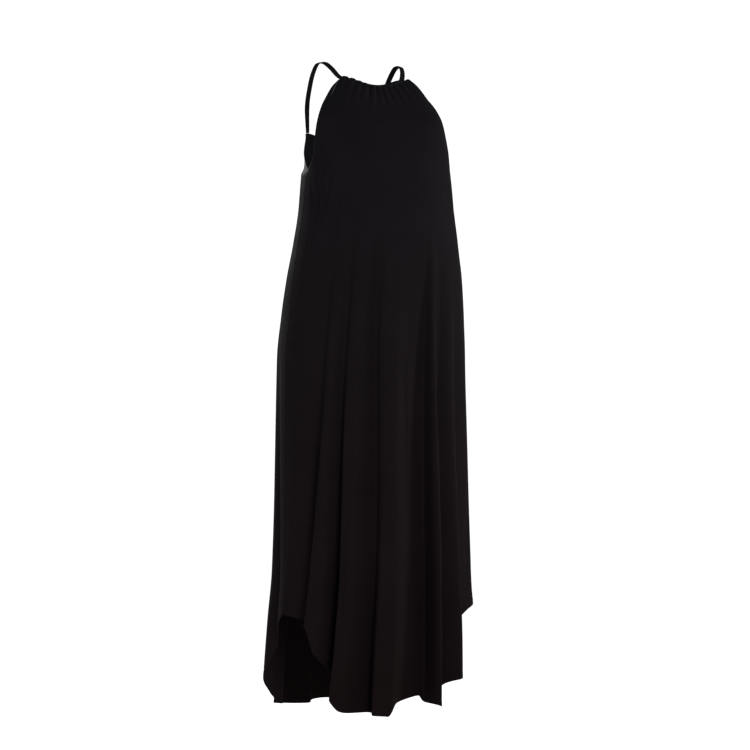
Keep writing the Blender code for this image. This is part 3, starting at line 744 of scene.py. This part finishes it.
def stitch_tree(material):
    """Nodes that set one thread stitch on every point, along the seam."""
    tree = bpy.data.node_groups.new("thread_stitches", "GeometryNodeTree")
    face = tree.interface
    face.new_socket("Seam points", in_out="INPUT", socket_type="NodeSocketGeometry")
    for label, value in (("Stitch length", 0.0022), ("Thread width", 0.00042), ("Thread height", 0.00030)):
        socket = face.new_socket(label, in_out="INPUT", socket_type="NodeSocketFloat")
        socket.default_value = value
    face.new_socket("Stitches", in_out="OUTPUT", socket_type="NodeSocketGeometry")
    nodes = tree.nodes
    links = tree.links
    start = nodes.new("NodeGroupInput")
    end = nodes.new("NodeGroupOutput")
    thread = nodes.new("GeometryNodeMeshUVSphere")
    thread.inputs["Segments"].default_value = 6
    thread.inputs["Rings"].default_value = 4
    thread.inputs["Radius"].default_value = 0.5
    size = nodes.new("ShaderNodeCombineXYZ")
    links.new(start.outputs["Stitch length"], size.inputs["X"])
    links.new(start.outputs["Thread width"], size.inputs["Y"])
    links.new(start.outputs["Thread height"], size.inputs["Z"])
    form = nodes.new("GeometryNodeTransform")
    links.new(thread.outputs["Mesh"], form.inputs["Geometry"])
    links.new(size.outputs["Vector"], form.inputs["Scale"])
    along = nodes.new("GeometryNodeInputNamedAttribute")
    along.data_type = "FLOAT_VECTOR"
    along.inputs["Name"].default_value = "along"
    up = nodes.new("GeometryNodeInputNamedAttribute")
    up.data_type = "FLOAT_VECTOR"
    up.inputs["Name"].default_value = "up"
    lay = nodes.new("FunctionNodeAlignRotationToVector")
    lay.axis = "X"
    links.new(along.outputs["Attribute"], lay.inputs["Vector"])
    roll = nodes.new("FunctionNodeAlignRotationToVector")
    roll.axis = "Z"
    roll.pivot_axis = "X"
    links.new(lay.outputs["Rotation"], roll.inputs["Rotation"])
    links.new(up.outputs["Attribute"], roll.inputs["Vector"])
    place = nodes.new("GeometryNodeInstanceOnPoints")
    links.new(start.outputs["Seam points"], place.inputs["Points"])
    links.new(form.outputs["Geometry"], place.inputs["Instance"])
    links.new(roll.outputs["Rotation"], place.inputs["Rotation"])
    real = nodes.new("GeometryNodeRealizeInstances")
    links.new(place.outputs["Instances"], real.inputs["Geometry"])
    colour = nodes.new("GeometryNodeSetMaterial")
    colour.inputs["Material"].default_value = material
    links.new(real.outputs["Geometry"], colour.inputs["Geometry"])
    links.new(colour.outputs["Geometry"], end.inputs["Stitches"])
    return tree


def stitch_piece(name, rows, tree):
    """Thread stitches along several seam lines. Each row is (points, up, pitch)."""
    at = []
    along = []
    ups = []
    for points, up, pitch in rows:
        length = float(np.sum(np.linalg.norm(np.diff(points, axis=0), axis=1)))
        count = max(3, int(length / pitch))
        spots, tops = resample(points, count, up)
        at.append(spots)
        along.append(unit(np.gradient(spots, axis=0)))
        ups.append(unit(tops))
    at = np.concatenate(at)
    mesh = bpy.data.meshes.new(name + "_points")
    mesh.from_pydata(at.tolist(), [], [])
    for label, values in (("along", np.concatenate(along)), ("up", np.concatenate(ups))):
        layer = mesh.attributes.new(label, "FLOAT_VECTOR", "POINT")
        layer.data.foreach_set("vector", values.astype(np.float32).ravel())
    holder = bpy.data.objects.new(name + "_points", mesh)
    bpy.context.scene.collection.objects.link(holder)
    modifier = holder.modifiers.new("stitches", "NODES")
    modifier.node_group = tree
    bpy.context.view_layer.update()
    made = holder.evaluated_get(bpy.context.evaluated_depsgraph_get())
    final = bpy.data.meshes.new_from_object(made)
    final.name = name
    holder.modifiers.remove(modifier)
    bpy.data.objects.remove(holder)
    piece = bpy.data.objects.new(name, final)
    bpy.context.scene.collection.objects.link(piece)
    return piece


def hem_stitch_rows(face, turned, to_hem):
    """The rows of stitches along one panel's hem, each as points, ways up and pitch."""
    rows = []
    for line_up in HEM_STITCHING:
        line = np.zeros((face.shape[1], 3))
        up = np.zeros_like(line)
        for j in range(face.shape[1]):
            for k in range(3):
                line[j, k] = np.interp(line_up, to_hem[::-1, j], face[::-1, j, k])
                up[j, k] = np.interp(line_up, to_hem[::-1, j], turned[::-1, j, k])
        rows.append((line[3:-3] + up[3:-3] * 0.05 * MM, up[3:-3], HEM_PITCH))
    return rows


def band_stitch_row(band, width, thick, free):
    """One row near the inner edge of a band, with a few points left free at both ends."""
    middle, out_way, face_way = band[1:]
    inward = BAND_STITCHING * (width + BAND_LAP) / 2
    row = middle - out_way * inward + face_way * (0.84 * thick / 2 - 0.02 * MM)
    return row[free:-free], face_way[free:-free], BAND_PITCH


def node(tree, kind, **values):
    made = tree.nodes.new(kind)
    for key, value in values.items():
        setattr(made, key, value)
    return made


def jersey_material(name, wale_turn=0.0):
    """Fine single jersey: near-black, matt, with a soft sheen and a fine knit relief. Its base colour
    carries painted light: cooler at the top, and warmer and a little darker towards the hem.
    """
    material = bpy.data.materials.new(name)
    material.use_nodes = True
    tree = material.node_tree
    link = tree.links.new
    shader = tree.nodes["Principled BSDF"]
    shader.inputs["Specular IOR Level"].default_value = 0.012
    shader.inputs["Sheen Weight"].default_value = 0.008
    shader.inputs["Sheen Roughness"].default_value = 0.45
    shader.inputs["Sheen Tint"].default_value = (1.0, 0.95, 1.0, 1.0)

    place = node(tree, "ShaderNodeTexCoord")
    split = node(tree, "ShaderNodeSeparateXYZ")
    link(place.outputs["Object"], split.inputs["Vector"])
    # Painted light: the base colour runs from a cooler near-black at the top to a warmer, slightly darker
    # one towards the hem, a tint standing in for how the light falls
    height = node(tree, "ShaderNodeMapRange")
    height.inputs["From Min"].default_value = -1.20
    height.inputs["From Max"].default_value = -0.10
    link(split.outputs["Z"], height.inputs["Value"])
    tone = node(tree, "ShaderNodeValToRGB")
    tone.color_ramp.elements[0].color = (0.0079, 0.0049, 0.0053, 1.0)
    tone.color_ramp.elements[1].color = (0.0064, 0.0056, 0.0070, 1.0)
    link(height.outputs["Result"], tone.inputs["Fac"])
    cloud = node(tree, "ShaderNodeTexNoise")
    cloud.inputs["Scale"].default_value = 9.0
    cloud.inputs["Detail"].default_value = 4.0
    link(place.outputs["Object"], cloud.inputs["Vector"])
    wear = node(tree, "ShaderNodeMapRange")
    wear.inputs["From Min"].default_value = 0.3
    wear.inputs["From Max"].default_value = 0.7
    wear.inputs["To Min"].default_value = 0.93
    wear.inputs["To Max"].default_value = 1.08
    link(cloud.outputs["Fac"], wear.inputs["Value"])
    shade = node(tree, "ShaderNodeVectorMath", operation="SCALE")
    link(tone.outputs["Color"], shade.inputs["Vector"])
    link(wear.outputs["Result"], shade.inputs["Scale"])
    link(shade.outputs["Vector"], shader.inputs["Base Color"])

    grain = node(tree, "ShaderNodeUVMap", uv_map="grain")
    turn = node(tree, "ShaderNodeMapping")
    turn.inputs["Rotation"].default_value = (0.0, 0.0, wale_turn)
    link(grain.outputs["UV"], turn.inputs["Vector"])
    wales = node(tree, "ShaderNodeTexWave", wave_type="BANDS", bands_direction="X", wave_profile="SIN")
    wales.inputs["Scale"].default_value = 0.314 / 0.00075
    wales.inputs["Distortion"].default_value = 0.6
    wales.inputs["Detail"].default_value = 1.0
    courses = node(tree, "ShaderNodeTexWave", wave_type="BANDS", bands_direction="Y", wave_profile="SIN")
    courses.inputs["Scale"].default_value = 0.314 / 0.00060
    courses.inputs["Distortion"].default_value = 0.6
    fuzz = node(tree, "ShaderNodeTexNoise")
    fuzz.inputs["Scale"].default_value = 1400.0
    fuzz.inputs["Detail"].default_value = 3.0
    slub = node(tree, "ShaderNodeTexNoise")
    slub.inputs["Scale"].default_value = 60.0
    slub.inputs["Detail"].default_value = 5.0
    for made in (wales, courses, fuzz, slub):
        link(turn.outputs["Vector"], made.inputs["Vector"])
    knit = node(tree, "ShaderNodeMath", operation="MULTIPLY")
    link(wales.outputs["Fac"], knit.inputs[0])
    link(courses.outputs["Fac"], knit.inputs[1])
    relief = node(tree, "ShaderNodeMath", operation="MULTIPLY_ADD")
    link(fuzz.outputs["Fac"], relief.inputs[0])
    relief.inputs[1].default_value = 0.6
    link(knit.outputs["Value"], relief.inputs[2])
    bump = node(tree, "ShaderNodeBump")
    bump.inputs["Strength"].default_value = 0.22
    bump.inputs["Distance"].default_value = 0.00025
    link(relief.outputs["Value"], bump.inputs["Height"])
    swell = node(tree, "ShaderNodeBump")
    swell.inputs["Strength"].default_value = 0.10
    swell.inputs["Distance"].default_value = 0.0020
    link(slub.outputs["Fac"], swell.inputs["Height"])
    link(bump.outputs["Normal"], swell.inputs["Normal"])
    link(swell.outputs["Normal"], shader.inputs["Normal"])
    gloss = node(tree, "ShaderNodeMapRange")
    gloss.inputs["To Min"].default_value = 0.52
    gloss.inputs["To Max"].default_value = 0.68
    link(slub.outputs["Fac"], gloss.inputs["Value"])
    link(gloss.outputs["Result"], shader.inputs["Roughness"])
    return material


def thread_material():
    """Polyester sewing thread, a little glossier than the jersey."""
    material = bpy.data.materials.new("black_thread")
    material.use_nodes = True
    tree = material.node_tree
    shader = tree.nodes["Principled BSDF"]
    shader.inputs["Roughness"].default_value = 0.55
    shader.inputs["Specular IOR Level"].default_value = 0.08
    place = node(tree, "ShaderNodeTexCoord")
    twist = node(tree, "ShaderNodeTexNoise")
    twist.inputs["Scale"].default_value = 900.0
    tone = node(tree, "ShaderNodeValToRGB")
    tone.color_ramp.elements[0].color = (0.0050, 0.0042, 0.0046, 1.0)
    tone.color_ramp.elements[1].color = (0.0105, 0.0090, 0.0098, 1.0)
    tree.links.new(place.outputs["Object"], twist.inputs["Vector"])
    tree.links.new(twist.outputs["Fac"], tone.inputs["Fac"])
    tree.links.new(tone.outputs["Color"], shader.inputs["Base Color"])
    return material


def studio_spot(aside, behind, z):
    """A place given to the right of the camera's line and beyond the dress."""
    right = Vector((math.cos(YAW), math.sin(YAW), 0.0))
    ahead = Vector((-math.sin(YAW), math.cos(YAW), 0.0))
    return right * aside + ahead * behind + Vector((0.0, 0.0, z))


def place_camera():
    lens = bpy.data.cameras.new("studio_camera")
    lens.sensor_width = SENSOR
    lens.lens = SENSOR * FOCAL_PIXELS / PICTURE_PIXELS
    camera = bpy.data.objects.new("studio_camera", lens)
    camera.location = studio_spot(AIM_RIGHT, -DISTANCE, EYE_LEVEL)
    camera.rotation_euler = (math.pi / 2, 0.0, YAW)
    bpy.context.scene.collection.objects.link(camera)
    bpy.context.scene.camera = camera


def floor_material():
    """Pale paint that looks nearly white to the camera and lights the room only a little."""
    paint = bpy.data.materials.new("pale_studio_floor")
    paint.use_nodes = True
    tree = paint.node_tree
    shader = tree.nodes["Principled BSDF"]
    shader.inputs["Base Color"].default_value = (0.50, 0.50, 0.50, 1.0)
    shader.inputs["Roughness"].default_value = 0.8
    shader.inputs["Emission Color"].default_value = (1.0, 1.0, 1.0, 1.0)
    path = node(tree, "ShaderNodeLightPath")
    glow = node(tree, "ShaderNodeMapRange")
    glow.inputs["To Min"].default_value = 0.20
    glow.inputs["To Max"].default_value = 0.95
    tree.links.new(path.outputs["Is Camera Ray"], glow.inputs["Value"])
    tree.links.new(glow.outputs["Result"], shader.inputs["Emission Strength"])
    return paint


def studio_floor():
    """Floor with a low rounded wall all the way round."""
    profile = [(0.01, 0.0), (3.0, 0.0), (FLOOR_RADIUS, 0.0)]
    for k in range(1, 13):
        angle = math.pi / 2 * k / 12
        profile.append((FLOOR_RADIUS + COVE * math.sin(angle), COVE * (1.0 - math.cos(angle))))
    profile.append((FLOOR_RADIUS + COVE, WALL_TOP))
    spokes = 96
    turn = 2.0 * math.pi * np.arange(spokes) / spokes
    rings = [np.stack([radius * np.cos(turn), radius * np.sin(turn), np.full(spokes, FLOOR + rise)], axis=1)
             for radius, rise in profile]
    faces = []
    for i in range(len(profile) - 1):
        for k in range(spokes):
            n = (k + 1) % spokes
            faces.append((i * spokes + k, i * spokes + n, (i + 1) * spokes + n, (i + 1) * spokes + k))
    make_mesh("studio_floor", np.concatenate(rings), faces, floor_material())


def soft_light(name, at, aim, size, power, spread):
    lamp = bpy.data.lights.new(name, "AREA")
    lamp.shape = "RECTANGLE"
    lamp.size = size[0]
    lamp.size_y = size[1]
    lamp.energy = power
    lamp.spread = math.radians(spread)
    holder = bpy.data.objects.new(name, lamp)
    holder.location = at
    holder.rotation_euler = (Vector(aim) - at).to_track_quat("-Z", "Y").to_euler()
    bpy.context.scene.collection.objects.link(holder)


def studio_lights():
    """Narrow key on the front's swell, a soft light on each side and one behind, with a faint even air."""
    front_swell = (0.0, 0.0, -0.42)
    middle_of_dress = (0.0, 0.0, -0.6)
    soft_light("key_softbox", studio_spot(1.0, -3.5, 0.2), front_swell, (1.2, 1.2), 9.4, 55.0)
    soft_light("side_softbox", studio_spot(-3.3, -1.6, 0.4), middle_of_dress, (1.0, 1.6), 16.0, 110.0)
    soft_light("rim_softbox", studio_spot(3.0, 0.2, 0.3), middle_of_dress, (0.4, 2.0), 23.0, 110.0)
    soft_light("back_softbox", studio_spot(-1.6, 3.4, 1.4), middle_of_dress, (1.2, 1.6), 24.0, 90.0)
    world = bpy.data.worlds.new("studio_air")
    bpy.context.scene.world = world
    world.use_nodes = True
    air = world.node_tree.nodes["Background"]
    air.inputs["Color"].default_value = (1.0, 1.0, 1.0, 1.0)
    air.inputs["Strength"].default_value = 0.07
    bpy.context.scene.view_settings.view_transform = "Standard"


place_camera()
panel_jersey = jersey_material("black_jersey")
band_jersey = jersey_material("black_jersey_band", math.pi / 2)
thread = thread_material()

# Panels. The side seams close with a hair of lap, so that no light comes through.
lower_steps = np.concatenate([np.linspace(0.0, 0.975, 119)[1:], 1.0 - np.array(HEM_ROWS)])
front_across = panel_columns(213)
front_base = np.concatenate([
    upper_rows(front_across, FRONT_TOP, row_steps(62, 1.15)),
    lower_rows(front_across, FRONT_HEM, lower_steps, "front_y", "front_full"),
])
front_base[:, (0, -1), 1] += SEAM_LAP
front_normal = grid_normals(front_base, -1.0)
back_across = panel_columns(193)
back_base = np.concatenate([
    upper_rows(back_across, BACK_TOP, row_steps(34, 1.0)),
    lower_rows(back_across, BACK_HEM, lower_steps, "back_y", "back_full"),
])
back_base[:, (0, -1), 1] -= SEAM_LAP
back_normal = grid_normals(back_base, 1.0)
front_cloth, front_face, front_turned, front_to_hem = panel_cloth(
    "front_panel_cloth", front_across, front_base, -1.0, FRONT_HEM, FRONT_FOLDS, FRONT_DRAGS, FRONT_CREASES,
    True, FRONT_LEAN_TURN, 11, panel_jersey)
back_cloth, back_face, back_turned, back_to_hem = panel_cloth(
    "back_panel_cloth", back_across, back_base, 1.0, BACK_HEM, BACK_FOLDS, BACK_DRAGS, BACK_CREASES,
    False, BACK_LEAN_TURN, 23, panel_jersey)

# Armhole bands
front_side = (front_base, front_normal)
back_side = (back_base, back_normal)
left_band = band_piece("armhole_band_cloth_left", *armhole_line(1.0, front_side, back_side),
                       ARMBAND_WIDTH, ARMBAND_THICK, 31, band_jersey)
right_band = band_piece("armhole_band_cloth_right", *armhole_line(-1.0, front_side, back_side),
                        ARMBAND_WIDTH, ARMBAND_THICK, 37, band_jersey)

# Band along the back top edge
seam_line, back_line, back_up, back_looks = back_band_line(back_base, back_normal)
back_band = band_piece("back_band_cloth", *resample(back_line, 90, back_up, back_looks),
                       ARMBAND_WIDTH, ARMBAND_THICK, 41, band_jersey)

# Neckband. Its straps end on the second points from the back band's ends.
strap_end = (back_line + back_up * ARMBAND_WIDTH / 2)[-2] + np.array([0.0, 0.0, SEAM_GAP])
back_way = unit(np.gradient(seam_line, axis=0))
neckband = band_piece("neckband_cloth",
                      *neckband_line(front_base, front_normal, front_across, strap_end, back_way[[1, -2]]),
                      NECKBAND_WIDTH, NECKBAND_THICK, 43, band_jersey)

# Thread
stitches = stitch_tree(thread)
hem_rows = hem_stitch_rows(front_face, front_turned, front_to_hem)
hem_rows += hem_stitch_rows(back_face, back_turned, back_to_hem)
hem_stitches = stitch_piece("hem_stitches", hem_rows, stitches)
band_rows = [band_stitch_row(band, ARMBAND_WIDTH, ARMBAND_THICK, 3)
             for band in (left_band, right_band, back_band)]
band_rows.append(band_stitch_row(neckband, NECKBAND_WIDTH, NECKBAND_THICK, 4))
band_stitches = stitch_piece("band_stitches", band_rows, stitches)

studio_floor()
studio_lights()

# Each piece hangs on the root body in place of its solid, which is hidden
for piece, solid in ((front_cloth, "front_panel"), (back_cloth, "back_panel"), (neckband[0], "neckband"),
                     (back_band[0], "back_band"), (left_band[0], "armhole_band_left"),
                     (right_band[0], "armhole_band_right")):
    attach(piece, "root")
    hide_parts(solid)
for piece in (hem_stitches, band_stitches):
    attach(piece, "root")
